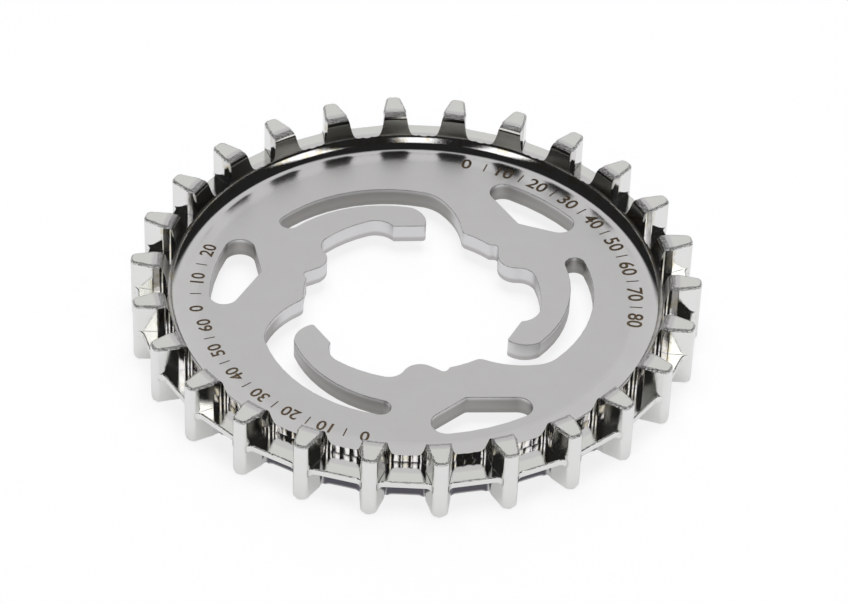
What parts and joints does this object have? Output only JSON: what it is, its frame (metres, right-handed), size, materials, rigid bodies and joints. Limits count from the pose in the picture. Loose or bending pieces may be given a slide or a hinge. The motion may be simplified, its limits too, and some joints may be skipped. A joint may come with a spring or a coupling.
{
  "type": "belt drive sprocket",
  "caption": "Steel bicycle belt sprocket: free-standing teeth joined by a centre fin, a dished plate and a lugged hub opening with curved slots.",
  "frame": {"origin": "on the axis of rotation, level with the back ends of the teeth, which it lies on", "axes": "+Z along the axis of rotation, out of the front face with the deep recess; one tooth points to +X"},
  "size_m": [0.089, 0.0884, 0.0109],
  "materials": {
    "steel": "satin machined stainless steel, polished in the recess and the gaps between the teeth"
  },
  "bodies": {
    "root": {"sprocket": "steel"}
  },
  "joints": []
}
